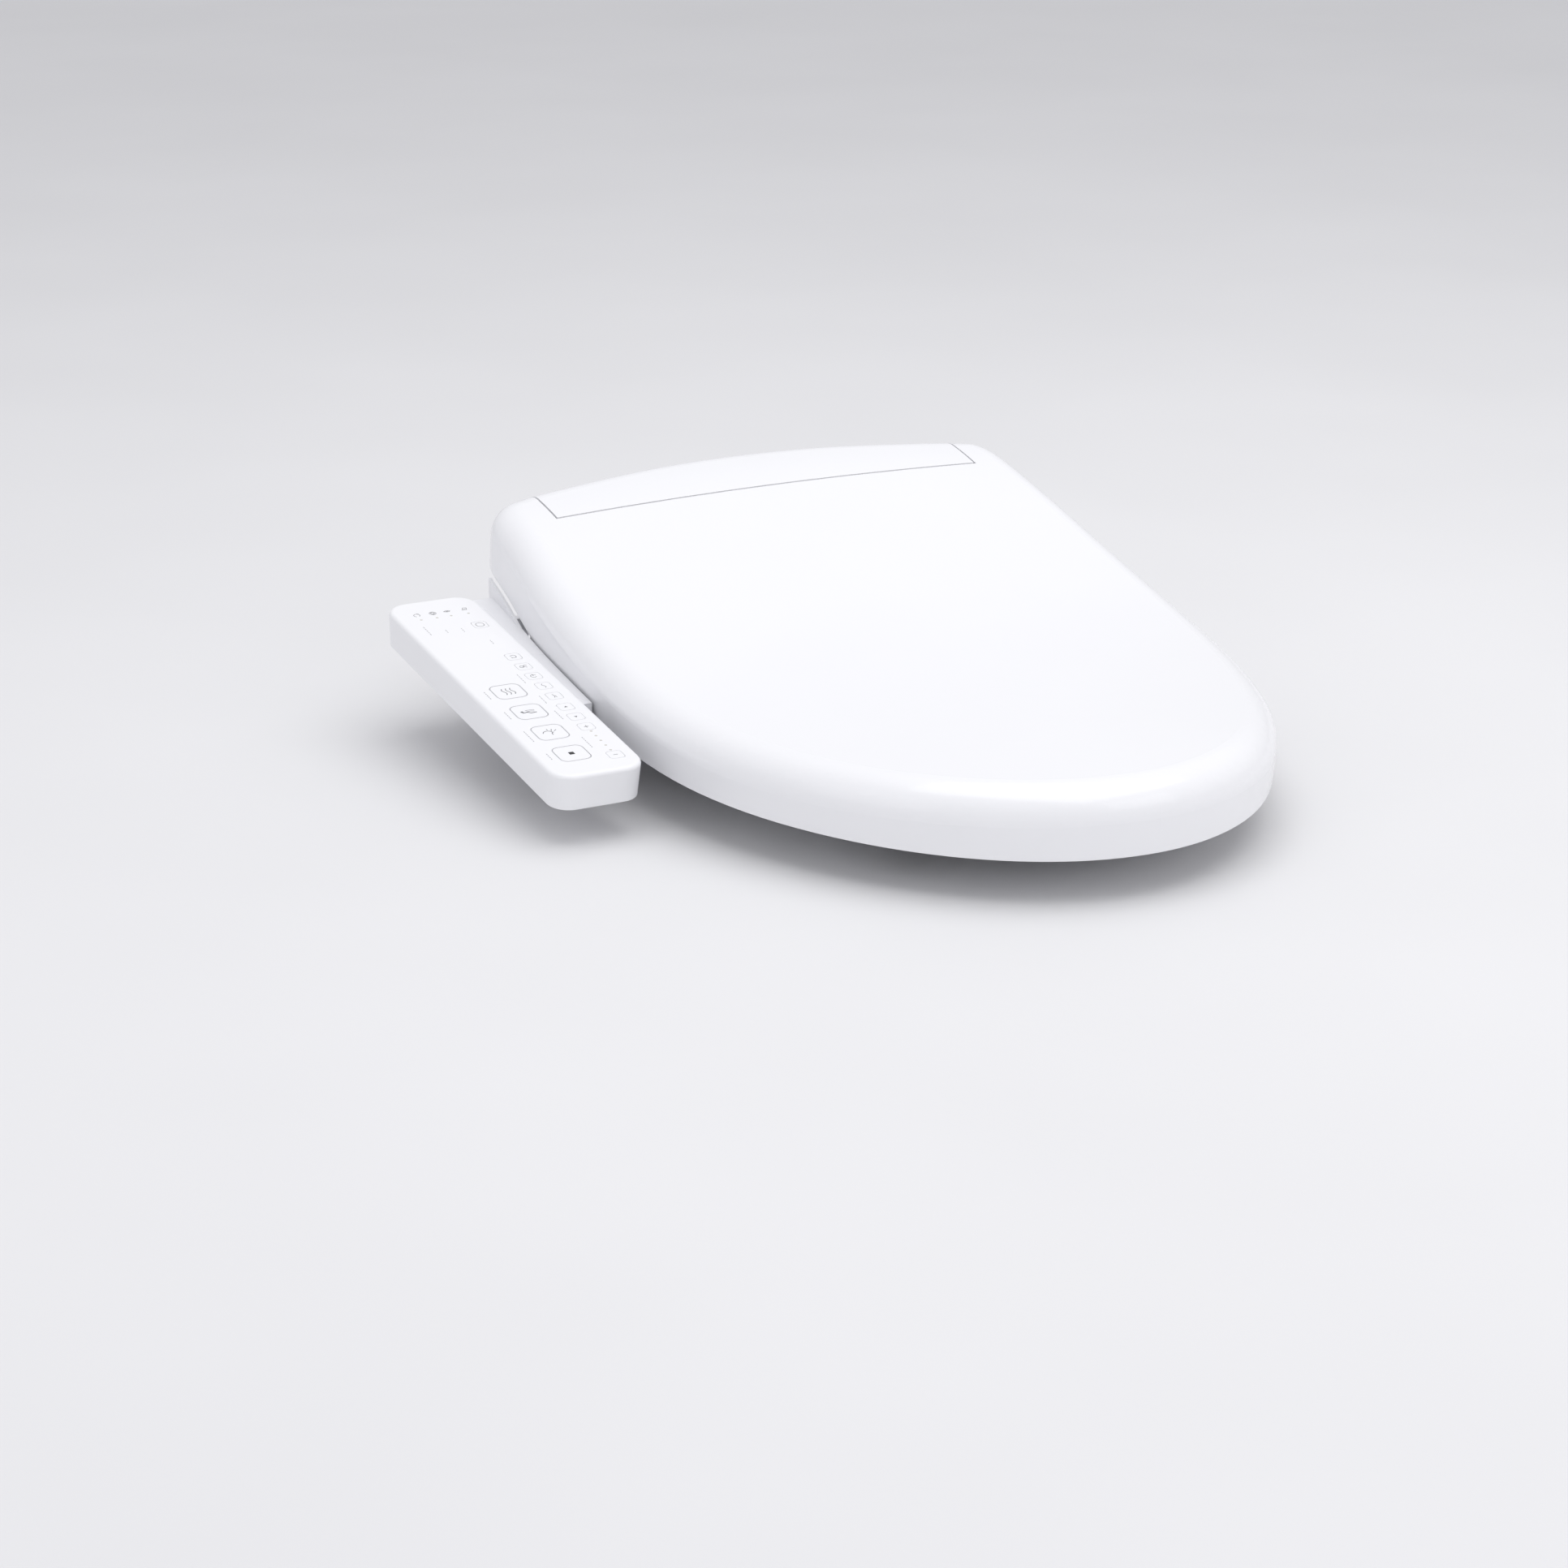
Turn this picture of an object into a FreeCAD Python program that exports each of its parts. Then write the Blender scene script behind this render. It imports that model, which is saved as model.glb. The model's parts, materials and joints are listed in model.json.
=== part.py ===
import FreeCAD, Part
import math
import os

from FreeCAD import Vector

# Electric bidet seat, millimetres.
# Frame: origin midway between the two seat bolts, on the bowl's deck (z = 0).
# +Z up, the front of the seat points to -Y, the user's control panel is on -X.

# ---- driving dimensions -------------------------------------------------
# plan of the closed lid, seen from above
HALF_WIDTH = 194.0        # widest half width, at MID_Y
REAR_HALF_WIDTH = 184.0   # half width where the rear corner starts
MID_Y = -166.0            # where the straight sides meet the front ellipse
FRONT_Y = -466.0          # tip of the lid
CORNER_Y = 14.0           # where the rear corner starts
CORNER_R = 28.0           # rear plan corner
REAR_SIDE_Y = 42.0        # rear wall beside the corner
REAR_MID_Y = 60.0         # rear wall in the middle

# side profile of the closed lid: (y, z) down the middle of the top, and the rim below
LID_TOP = ((75, 125.0), (40, 119.8), (-8, 111.5), (-60, 97.2), (-120, 81.5), (-180, 68.5),
           (-240, 59.7), (-300, 54.4), (-360, 51.6), (-420, 50.3), (-480, 49.0))
LID_RIM = ((75, 82.0), (40, 77.0), (-8, 64.5), (-60, 47.0), (-120, 31.0), (-180, 19.5),
           (-240, 12.5), (-300, 9.3), (-360, 8.3), (-420, 8.0), (-480, 8.0))
CROWN = 1.5e-4            # the top falls by CROWN * x * x at the back, and by twice that in front
CROWN_LENGTH = 292.0      # distance over which the crown grows, from the strip forwards
LID_WALL = 3.0
LID_EDGE_R = 20.0         # soft edge round the top
BULGE = ((-10, 5.0), (50, 0.0), (130, 4.5))   # (z, inset): the walls belly out at mid height

# strip of the main unit that shows through the lid's cut-out
STRIP_HALF = 150.0
STRIP_FRONT_Y = -8.0
GROOVE = 0.6
STRIP_SETBACK = 0.8       # the strip's front wall, behind its line
LIP = 0.9                 # thin lip of the lid in front of the strip, clear of it as the lid turns
LIP_LENGTH = 2.0

# hinge line shared by the lid and the seat, parallel to X
HINGE_Y = 30.0
HINGE_Z = 80.0
PIN_R = 4.0
PIN_FIT = 0.05

# main unit
UNIT_HALF = 149.2
UNIT_FRONT_Y = -57.0
SPLIT_Z = 61.0            # seam between the lower and the upper case
FLOOR_Z = 12.0
WALL = 2.5
UNIT_INSET = 6.0          # rear wall of the lower case behind the lid's own outline

# side skirts, just outside the lid's rim
SKIRT_GAP = 1.0
SKIRT_WALL = 2.0
SKIRT_FRONT_Y = -150.0

# seat
SEAT_INSET = 9.5
SEAT_REAR_Y = -62.5
SEAT_TOP = ((0, 70.0), (-60, 63.5), (-120, 55.0), (-180, 47.5), (-240, 41.0), (-300, 36.5),
            (-360, 33.5), (-420, 32.0), (-480, 31.5))
SEAT_BOTTOM = ((0, 46.0), (-60, 40.0), (-120, 28.0), (-180, 20.0), (-240, 15.5), (-300, 13.0),
               (-360, 12.0), (-420, 12.0), (-480, 12.0))
SEAT_WALL = 2.5
SEAT_SEAM = 8.0           # seam between the seat's shells, above its underside
HOLE_HALF = 106.0
HOLE_Y = -255.0
HOLE_LENGTH_HALF = 150.0

# control panel on its arm
PANEL_INNER_X = -203.5
PANEL_WIDTH = 58.4
PANEL_LENGTH = 256.5
PANEL_HEIGHT = 22.0
PANEL_REAR_Y = 7.0
PANEL_REAR_Z = 63.0       # top of the panel at its rear end
PANEL_SLOPE = 8.1         # degrees down towards the front
PANEL_DRAFT = 1.2
PANEL_CORNER_R = 14.0
PANEL_WALL = 2.2
PANEL_EDGE_R = 2.6

# keys: distance from the panel's inner side, and from its front end
BIG_KEY = 19.0
BIG_KEY_R = 4.5
BIG_KEY_U = 36.0
BIG_KEYS = (("stop_button", 28.0), ("rear_wash_button", 57.5),
            ("front_wash_button", 87.0), ("dryer_button", 116.5))
SMALL_KEY = 9.0
SMALL_KEY_R = 2.0
SMALL_KEY_U = 13.0
SMALL_KEYS = (("pressure_down_button", 18.0), ("pressure_up_button", 57.5),
              ("position_back_button", 71.7), ("position_forward_button", 86.0),
              ("pulsating_button", 102.0), ("oscillating_button", 117.0),
              ("air_heat_button", 131.5), ("water_heat_button", 146.0),
              ("seat_heat_button", 161.0), ("power_button", 211.0))
KEY_GAP = 0.25
KEY_TRAVEL_ROOM = 1.2
KEY_HEIGHT = 3.4

# wand: slides along a line that falls towards the front
WAND_ANGLE = 25.0
WAND_Y = -60.5
WAND_Z = 25.0
WAND_R = 7.5
TIP_R = 7.9
TIP_LENGTH = 21.0
WAND_LENGTH = 86.0
MODULE = 1.25
PINION_TEETH = 12
PINION_AT = 45.0          # pinion behind the tip, along the wand
TOOTH_WIDTH = 1.25        # thin teeth leave running backlash
RACK_PITCH_N = 11.25      # pitch line under the wand's axis

# mounting on the bowl
BOLT_SPACING = 140.0
BOLT_HOLE_R = 4.2
ADJUSTER_BOSS_R = 6.7     # boss that fills the plate's slot around the bolt
PLATE_Z = 6.0

# arm that carries the panel
ARM_FRONT_Y = -152.0
ARM_REAR_Y = 8.0
ARM_DECK_DROP = 5.0       # deck beside the panel, below the panel's top
ARM_BEAM = 11.0           # height of the beam under the panel
ARM_WALL = 3.0
ARM_ROOT_X = -180.0
ARM_OUTER_INSET = 12.0    # beam's outer side, in from the panel's outer side
RIM_GAP = 2.0             # between the lid's rim and the top of a skirt
TRAY_Z = 32.0
TRAY_FRONT_Y = -110.0

# openings and fittings of the main unit
WAND_PORT_R = 9.2
RACK_SLOT = 3.2           # half width of the slot that lets the rack's teeth through
DUCT_X = (60.0, 90.0)
FLAP_X = (58.6, 91.4)
FLAP_Y = -59.0
FLAP_Z = 35.8
FLAP_PIN_R = 1.0
FITTING_Z = 22.0
INLET_X = -110.0
INLET_NECK_R = 9.6
INLET_R = 10.4
INLET_Y = (48.0, 60.0)
FILTER_X = -78.0
FILTER_R = 7.0
DRAIN_X = -54.0
DRAIN_R = 5.0
PLUG_CAP_Y = 54.4
GLAND_X = 114.0
GLAND_R = 6.5
BUTTON_R = 7.0
BUTTON_Y = -32.0
BUTTON_Z = 20.0
CARTRIDGE_X = (106.0, 190.0)
CARTRIDGE_Y = (-12.0, 9.0)
CARTRIDGE_Z = (15.2, 33.6)
FAN_X = 68.0
FAN_Y = -2.0
SCREW_R = 2.0
SCREW_AT = ((-138.0, -46.0), (138.0, -46.0), (-138.0, 28.0), (134.0, 28.0))

# seat and panel details
SEAT_EDGE_R = 7.0
ARM_X = (151.5, 160.5, 179.5)   # inner face, outer face of the eye, outer face of the shoulder
PANEL_SEAM = 19.6
PANEL_SCREW_R = 1.6
LED_R = 0.9


# ---- helpers ------------------------------------------------------------
def box(x0, x1, y0, y1, z0, z1):
    return Part.makeBox(x1 - x0, y1 - y0, z1 - z0, Vector(x0, y0, z0))


def cyl(r, start, axis, length):
    return Part.makeCylinder(r, length, Vector(*start), Vector(*axis))


def prism_x(points, x0, x1):
    """Polygon of (y, z) points, extruded from x0 to x1."""
    corners = [Vector(x0, y, z) for y, z in points]
    wire = Part.makePolygon(corners + corners[:1])
    return Part.Face(wire).extrude(Vector(x1 - x0, 0, 0))


def both_sides(shape):
    """The shape and its mirror image in the plane x = 0."""
    return [shape, shape.mirror(Vector(0, 0, 0), Vector(1, 0, 0))]


def fuse(shapes):
    return shapes[0].multiFuse(shapes[1:]).removeSplitter()


def round_edges(shape, radius, keep):
    edges = [edge for edge in shape.Edges if keep(edge)]
    return shape.makeFillet(radius, edges)


def top_rim_edges(shape):
    """Edges round the topmost face."""
    return max(shape.Faces, key=lambda face: face.BoundBox.ZMin).OuterWire.Edges


def export(name, shapes):
    if not isinstance(shapes, (list, tuple)):
        shapes = [shapes]
    solids = [solid for shape in shapes for solid in shape.Solids]
    for solid in solids:
        if not solid.isValid():
            print("INVALID", name)
    whole = solids[0] if len(solids) == 1 else Part.makeCompound(solids)
    whole.exportStep("parts/" + name + ".step")
    print(name, len(solids), round(sum(s.Volume for s in solids)))


# ---- the closed body: plan outline, belly and crowned top ----------------
def outline_points(inset):
    """Closed plan outline from the tip, up the +X side and round the back."""
    half = HALF_WIDTH - inset
    length = MID_Y - FRONT_Y - inset
    side_bow = (HALF_WIDTH - REAR_HALF_WIDTH) / (CORNER_Y - MID_Y) ** 2
    points = []
    for step in range(0, 8):
        angle = math.radians(90.0 * step / 7)
        points.append((half * math.sin(angle), MID_Y - length * math.cos(angle)))
    for y in (-120.0, -60.0, 0.0):
        points.append((half - side_bow * (y - MID_Y) ** 2, y))
    corner_x = REAR_HALF_WIDTH - CORNER_R
    for degrees in (12.0, 35.0, 58.0, 78.0):
        angle = math.radians(degrees)
        reach = CORNER_R - inset
        points.append((corner_x + reach * math.cos(angle), CORNER_Y + reach * math.sin(angle)))
    rear_bow = (REAR_MID_Y - REAR_SIDE_Y) / corner_x ** 2
    for x in (125.0, 65.0):
        points.append((x, REAR_MID_Y - inset - rear_bow * x * x))
    mirrored = [(-x, y) for x, y in reversed(points[1:])]
    return points + [(0.0, REAR_MID_Y - inset)] + mirrored


def outline_wire(inset, z):
    curve = Part.BSplineCurve()
    curve.interpolate(Points=[Vector(x, y, z) for x, y in outline_points(inset)], PeriodicFlag=True)
    return Part.Wire(curve.toShape())


def plan_prism(inset, z0, z1):
    return Part.Face(outline_wire(inset, z0)).extrude(Vector(0, 0, z1 - z0))


def bellied_prism(inset):
    wires = [outline_wire(inset + extra, z) for z, extra in BULGE]
    return Part.makeLoft(wires, True, False)


def even_crown(y):
    return CROWN


def flat_top(y):
    return 0.0


def lid_crown(y):
    forward = min(1.0, max(0.0, (STRIP_FRONT_Y - y) / CROWN_LENGTH))
    return CROWN * (1.0 + math.sin(math.radians(90.0 * forward)))


def slab(bottom, top, crown=even_crown, lift=0.0, drop=0.0):
    """Solid between two side profiles, (y, z) lists with the same y stations."""
    reach = 300.0
    wires = []
    for (y, low), (_, high) in zip(bottom, top):
        low = low + lift
        high = high - drop
        edge = high - crown(y) * reach * reach
        left_low = Vector(-reach, y, low)
        right_low = Vector(reach, y, low)
        left_top = Vector(-reach, y, edge)
        right_top = Vector(reach, y, edge)
        edges = [Part.LineSegment(left_low, right_low).toShape(),
                 Part.LineSegment(right_low, right_top).toShape()]
        if crown(y):
            edges.append(Part.Arc(right_top, Vector(0, y, high), left_top).toShape())
        else:
            edges.append(Part.LineSegment(right_top, left_top).toShape())
        edges.append(Part.LineSegment(left_top, left_low).toShape())
        wires.append(Part.Wire(edges))
    return Part.makeLoft(wires, True, False)


def level(profile, z):
    """A flat profile with the stations of another one."""
    return tuple((y, z) for y, _ in profile)


def envelope(inset, rim, drop, edge_r):
    body = bellied_prism(inset).common(slab(rim, LID_TOP, crown=lid_crown, drop=drop))
    return body.makeFillet(edge_r, top_rim_edges(body))


outer_body = envelope(0.0, LID_RIM, 0.0, LID_EDGE_R)
inner_body = envelope(LID_WALL, level(LID_TOP, 5.0), LID_WALL, LID_EDGE_R - LID_WALL)
unit_top_body = envelope(0.0, level(LID_TOP, 5.0), 0.0, LID_EDGE_R)


# ---- lid ----------------------------------------------------------------
def make_lid():
    lid = outer_body.cut(inner_body)
    edge_x = STRIP_HALF + GROOVE
    edge_y = STRIP_FRONT_Y - GROOVE
    lid = lid.cut(box(-edge_x, edge_x, edge_y, 90, 0, 160))
    under_lip = slab(level(LID_TOP, 5.0), LID_TOP, crown=lid_crown, drop=LIP)
    lid = lid.cut(under_lip.common(box(-edge_x, edge_x, edge_y - LIP_LENGTH, edge_y + 1, 60, 160)))
    # the seat's arms pass through notches low in the rear wall
    notch = box(STRIP_HALF, STRIP_HALF + 12.0, 12.0, 90, 0, HINGE_Z + 10.0)
    for side in both_sides(notch):
        lid = lid.cut(side)
    return lid


BRACKET_X = (162.0, 168.0)


def make_lid_brackets():
    web = prism_x(((HINGE_Y - 9, HINGE_Z), (HINGE_Y + 8, HINGE_Z), (HINGE_Y + 2, 140), (HINGE_Y - 26, 140)),
                  BRACKET_X[0], BRACKET_X[1])
    eye = cyl(9.0, (BRACKET_X[0], HINGE_Y, HINGE_Z), (1, 0, 0), BRACKET_X[1] - BRACKET_X[0])
    bore = cyl(PIN_R + PIN_FIT, (BRACKET_X[0] - 1, HINGE_Y, HINGE_Z), (1, 0, 0), 20)
    bracket = fuse([web, eye]).cut(bore).common(inner_body)
    return both_sides(bracket)


def make_lid_bumpers():
    """Soft pads in the lid that land on the seat."""
    pads = []
    for x, y in ((148.0, -180.0), (112.0, -372.0)):
        pad = cyl(7.0, (x, y, -5), (0, 0, 1), 160)
        pad = pad.common(inner_body).cut(slab(level(SEAT_TOP, -50.0), SEAT_TOP, drop=-0.4))
        pads += both_sides(pad)
    return pads


# ---- main unit ----------------------------------------------------------
def wand_point(along, below=0.0, x=0.0):
    """Point on the wand's line: along is towards the tip, below is square to it."""
    c = math.cos(math.radians(WAND_ANGLE))
    s = math.sin(math.radians(WAND_ANGLE))
    return (x, WAND_Y - along * c + below * s, WAND_Z - along * s - below * c)


WAND_AXIS = (0, -math.cos(math.radians(WAND_ANGLE)), -math.sin(math.radians(WAND_ANGLE)))


def wand_cyl(r, start, length):
    return cyl(r, wand_point(start), WAND_AXIS, length)


def wand_box(x0, x1, start, length, near, far):
    """Block along the wand, from near to far below its axis."""
    corners = [Vector(*wand_point(start, near, x0)), Vector(*wand_point(start + length, near, x0)),
               Vector(*wand_point(start + length, far, x0)), Vector(*wand_point(start, far, x0))]
    return Part.Face(Part.makePolygon(corners + corners[:1])).extrude(Vector(x1 - x0, 0, 0))


UNDER_LID = ((STRIP_FRONT_Y + STRIP_SETBACK, 101), (-30, 88), (UNIT_FRONT_Y, 66), (UNIT_FRONT_Y, SPLIT_Z),
             (STRIP_FRONT_Y + STRIP_SETBACK, SPLIT_Z))
UNDER_LID_INSIDE = ((0, 97.5), (-29, 84.5), (UNIT_FRONT_Y + WALL, 64.3), (UNIT_FRONT_Y + WALL, 50), (0, 50))


def make_upper_case():
    half = STRIP_HALF - GROOVE
    front = STRIP_FRONT_Y + STRIP_SETBACK
    outside = fuse([unit_top_body.common(box(-half, half, front, 90, SPLIT_Z, 160)),
                    prism_x(UNDER_LID, -half, half)])
    inside = inner_body.common(box(-half + WALL, half - WALL, front + WALL, 90, SPLIT_Z - 5, 160))
    case = outside.cut(inside).cut(prism_x(UNDER_LID_INSIDE, -half + WALL, half - WALL))
    case = case.cut(cyl(PIN_R, (-200, HINGE_Y, HINGE_Z), (1, 0, 0), 400))
    return case


def panel_top_z(y):
    return PANEL_REAR_Z + (y - PANEL_REAR_Y) * math.tan(math.radians(PANEL_SLOPE))


def arm_section(shrink):
    """The arm: a deck beside the panel and a beam under it."""
    front = ARM_FRONT_Y + shrink
    rear = ARM_REAR_Y - shrink
    under_panel = PANEL_HEIGHT / math.cos(math.radians(PANEL_SLOPE))
    foot = under_panel + ARM_BEAM + 4.0 * shrink

    def layer(drop, x0, x1):
        side = ((front, panel_top_z(front) - drop - shrink), (rear, panel_top_z(rear) - drop - shrink),
                (rear, panel_top_z(rear) - foot), (front, panel_top_z(front) - foot))
        return prism_x(side, x0, x1)

    deck = layer(ARM_DECK_DROP, PANEL_INNER_X + 0.4 + shrink, ARM_ROOT_X)
    beam = layer(under_panel, PANEL_INNER_X - PANEL_WIDTH + ARM_OUTER_INSET + shrink, ARM_ROOT_X)
    return fuse([deck, beam])


def make_lower_case():
    inside_x = UNIT_HALF - WALL
    core = plan_prism(UNIT_INSET, 1.0, SPLIT_Z).common(box(-UNIT_HALF, UNIT_HALF, UNIT_FRONT_Y, 90, 0, 90))
    hollow = plan_prism(UNIT_INSET + WALL, -5.0, SPLIT_Z + 5.0)
    hollow = hollow.common(box(-inside_x, inside_x, UNIT_FRONT_Y + WALL, 90, -10, 90))
    core = core.cut(hollow.common(box(-200, 200, -90, 90, FLOOR_Z + WALL, 90)))
    core = core.cut(hollow.common(box(-200, 200, -90, 90, -10, FLOOR_Z)))
    # outside the unit's own walls: a low tray behind, skirts beside the lid, and the arm
    unit_block = box(-UNIT_HALF, UNIT_HALF, -300, 90, -5, 100)
    tray = plan_prism(-SKIRT_GAP - SKIRT_WALL, 4.0, TRAY_Z)
    tray = tray.cut(plan_prism(UNIT_INSET - WALL, 4.0 + ARM_WALL, 90.0))
    tray = tray.common(box(-260, 260, TRAY_FRONT_Y, 90, 0, 90)).cut(unit_block)
    skirts = plan_prism(-SKIRT_GAP - SKIRT_WALL, 4.0, 80.0).cut(plan_prism(-SKIRT_GAP, 0.0, 90.0))
    skirts = skirts.common(slab(level(LID_RIM, -20.0), LID_RIM, crown=flat_top, drop=RIM_GAP))
    skirts = skirts.common(box(-260, 260, SKIRT_FRONT_Y, CORNER_Y, 1.0, 120)).cut(unit_block)
    arm = arm_section(0.0).cut(arm_section(ARM_WALL)).cut(plan_prism(-SKIRT_GAP, -20.0, 90.0))
    case = fuse([core, tray, arm] + skirts.Solids)
    lid_room = plan_prism(-SKIRT_GAP, 4.0 + ARM_WALL, 90.0).cut(unit_block)
    case = case.cut(lid_room.common(box(-220, 220, -300, CORNER_Y, 0, 90)))
    for hole in case_ports():
        case = case.cut(hole)
    return case


def wand_port():
    """Round opening for the wand, with a slot under it for the rack."""
    slot = wand_box(-RACK_SLOT, RACK_SLOT, -24.0, 60.0, 0.0, RACK_PITCH_N + 1.7)
    return wand_cyl(WAND_PORT_R, -24.0, 60.0).fuse(slot)


def case_ports():
    """Openings in the lower case: wand, dryer, rear fittings, cartridge, release button and screws."""
    ports = [wand_port(),
             box(DUCT_X[0] + 1.5, DUCT_X[1] - 1.5, UNIT_FRONT_Y - 1, UNIT_FRONT_Y + WALL + 1, 19.5, 34.5),
             cyl(INLET_R, (INLET_X, 36, FITTING_Z), (0, 1, 0), 30),
             cyl(FILTER_R, (FILTER_X, 36, FITTING_Z), (0, 1, 0), 30),
             cyl(DRAIN_R, (DRAIN_X, 36, FITTING_Z), (0, 1, 0), 30),
             cyl(GLAND_R, (GLAND_X, 30, FITTING_Z), (0, 1, 0), 40),
             cyl(BUTTON_R + 0.4, (180, BUTTON_Y, BUTTON_Z), (1, 0, 0), 30),
             box(UNIT_HALF - 10, 220, CARTRIDGE_Y[0] - 0.4, CARTRIDGE_Y[1] + 0.4,
                 CARTRIDGE_Z[0] - 0.4, CARTRIDGE_Z[1] + 0.4)]
    ports += [cyl(SCREW_R, (x, y, 0), (0, 0, 1), 20) for x, y in SCREW_AT]
    return ports


def make_front_fascia():
    plate = box(-118, 118, WAND_Y, UNIT_FRONT_Y, 3, 58)
    plate = round_edges(plate, 8.0, lambda edge: edge.BoundBox.DiagonalLength < UNIT_FRONT_Y - WAND_Y + 0.01)
    plate = plate.cut(wand_port())
    plate = plate.cut(box(FLAP_X[0] - 0.6, FLAP_X[1] + 0.6, -70, -50, 16.5, 38.0))
    pin_length = FLAP_X[1] - FLAP_X[0] + 6
    return plate.cut(cyl(FLAP_PIN_R + PIN_FIT, (FLAP_X[0] - 3, FLAP_Y, FLAP_Z), (1, 0, 0), pin_length))


def make_dryer_flap():
    leaf = box(FLAP_X[0], FLAP_X[1], WAND_Y + 0.2, WAND_Y + 1.9, 17.2, FLAP_Z)
    barrel = cyl(1.7, (FLAP_X[0], FLAP_Y, FLAP_Z), (1, 0, 0), FLAP_X[1] - FLAP_X[0])
    pin = cyl(FLAP_PIN_R, (FLAP_X[0] - 2.4, FLAP_Y, FLAP_Z), (1, 0, 0), FLAP_X[1] - FLAP_X[0] + 4.8)
    return fuse([leaf, barrel, pin])


def make_hinge_pins():
    return both_sides(cyl(PIN_R, (140, HINGE_Y, HINGE_Z), (1, 0, 0), BRACKET_X[1] + 0.4 - 140))


def make_hinge_damper():
    can = cyl(12.0, (112, HINGE_Y, HINGE_Z), (1, 0, 0), 27.8)
    return can.fuse(box(116, 136, HINGE_Y - 14, HINGE_Y - 8, HINGE_Z - 12, HINGE_Z + 12)).removeSplitter()


# ---- insides of the main unit --------------------------------------------
def rounded_block(x0, x1, y0, y1, z0, z1, r):
    return round_edges(box(x0, x1, y0, y1, z0, z1), r, lambda edge: True)


def make_heater_tank():
    tank = rounded_block(-112, -42, -48, 0, 15, 54, 5.0)
    ports = [cyl(4.0, (x, -24, 50), (0, 0, 1), 10) for x in (-98, -56)]
    return fuse([tank] + ports)


def make_inlet_valve():
    body = rounded_block(-125, -95, 4, 32, 15, 38, 2.0)
    coil = cyl(8.0, (-110, 18, 36), (0, 0, 1), 16)
    return fuse([body, coil])


def make_inlet_fitting():
    """Half-inch male thread for the supply hose, with a bore and an inner flange."""
    flange = cyl(12.0, (INLET_X, 32, FITTING_Z), (0, 1, 0), 4)
    flange = flange.common(box(INLET_X - 15, INLET_X + 15, 30, 40, FLOOR_Z + WALL, 60))
    neck = cyl(INLET_NECK_R, (INLET_X, 36, FITTING_Z), (0, 1, 0), 12)
    thread = cyl(INLET_R, (INLET_X, INLET_Y[0], FITTING_Z), (0, 1, 0), INLET_Y[1] - INLET_Y[0])
    bore = cyl(6.0, (INLET_X, 33, FITTING_Z), (0, 1, 0), 40)
    return fuse([flange, neck, thread]).cut(bore)


def make_rear_plug(x, r, cap_r):
    stem = cyl(r, (x, 30, FITTING_Z), (0, 1, 0), 25)
    cap = cyl(cap_r, (x, PLUG_CAP_Y, FITTING_Z), (0, 1, 0), 4)
    slot = box(x - cap_r - 1, x + cap_r + 1, PLUG_CAP_Y + 2.5, 70, FITTING_Z - 1, FITTING_Z + 1)
    return fuse([stem, cap]).cut(slot)


def make_power_gland():
    body = cyl(GLAND_R, (GLAND_X, 34, FITTING_Z), (0, 1, 0), 18)
    collar = cyl(GLAND_R + 2.5, (GLAND_X, 48, FITTING_Z), (0, 1, 0), 5)
    bore = cyl(3.6, (GLAND_X, 30, FITTING_Z), (0, 1, 0), 40)
    return fuse([body, collar]).cut(bore)


def make_fan_housing():
    can = cyl(27.0, (FAN_X, FAN_Y, 15), (0, 0, 1), 24).cut(cyl(25.0, (FAN_X, FAN_Y, 17), (0, 0, 1), 20))
    can = can.cut(cyl(14.0, (FAN_X, FAN_Y, 30), (0, 0, 1), 20))
    can = can.cut(box(DUCT_X[0] + 1.5, DUCT_X[1] - 1.5, -60, FAN_Y, 19.5, 34.5).cut(
        cyl(25.0, (FAN_X, FAN_Y, 0), (0, 0, 1), 60)))
    return fuse([can, cyl(3.0, (FAN_X, FAN_Y, 16), (0, 0, 1), 20)])


def make_fan_rotor():
    hub = cyl(7.0, (FAN_X, FAN_Y, 18), (0, 0, 1), 16)
    disc = cyl(22.0, (FAN_X, FAN_Y, 18), (0, 0, 1), 1.5)
    vanes = []
    for number in range(12):
        vane = box(FAN_X + 12, FAN_X + 22, FAN_Y - 0.6, FAN_Y + 0.6, 18, 34)
        vane.rotate(Vector(FAN_X + 12, FAN_Y, 0), Vector(0, 0, 1), 28)
        vane.rotate(Vector(FAN_X, FAN_Y, 0), Vector(0, 0, 1), 30.0 * number)
        vanes.append(vane)
    bore = cyl(3.0 + PIN_FIT, (FAN_X, FAN_Y, 10), (0, 0, 1), 40)
    return fuse([hub, disc] + vanes).cut(bore)


def make_dryer_duct():
    duct = box(DUCT_X[0], DUCT_X[1], UNIT_FRONT_Y + WALL, FAN_Y, 18, 36)
    duct = duct.cut(box(DUCT_X[0] + 1.5, DUCT_X[1] - 1.5, -70, FAN_Y + 1, 19.5, 34.5))
    return duct.cut(cyl(27.0, (FAN_X, FAN_Y, 0), (0, 0, 1), 60))


def make_dryer_heater():
    """Comb of element plates across the duct."""
    rail = box(DUCT_X[0] + 1.5, DUCT_X[1] - 1.5, -50, -38, 19.5, 20.5)
    count = 6
    step = (DUCT_X[1] - DUCT_X[0] - 6.0) / (count - 1)
    plates = []
    for number in range(count):
        x = DUCT_X[0] + 2.5 + number * step
        plates.append(box(x, x + 1.0, -50, -38, 20.5, 33.5))
    return fuse([rail] + plates)


def make_circuit_board():
    board = box(32, 140, -48, 10, 58.0, 59.6)
    parts = [box(42, 64, -40, -20, 59.6, 66), box(76, 92, -36, -24, 59.6, 64),
             cyl(6.0, (110, -30, 59.6), (0, 0, 1), 7), cyl(4.0, (124, -36, 59.6), (0, 0, 1), 6),
             box(100, 130, -12, -4, 59.6, 68)]
    return fuse([board] + parts)


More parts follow.
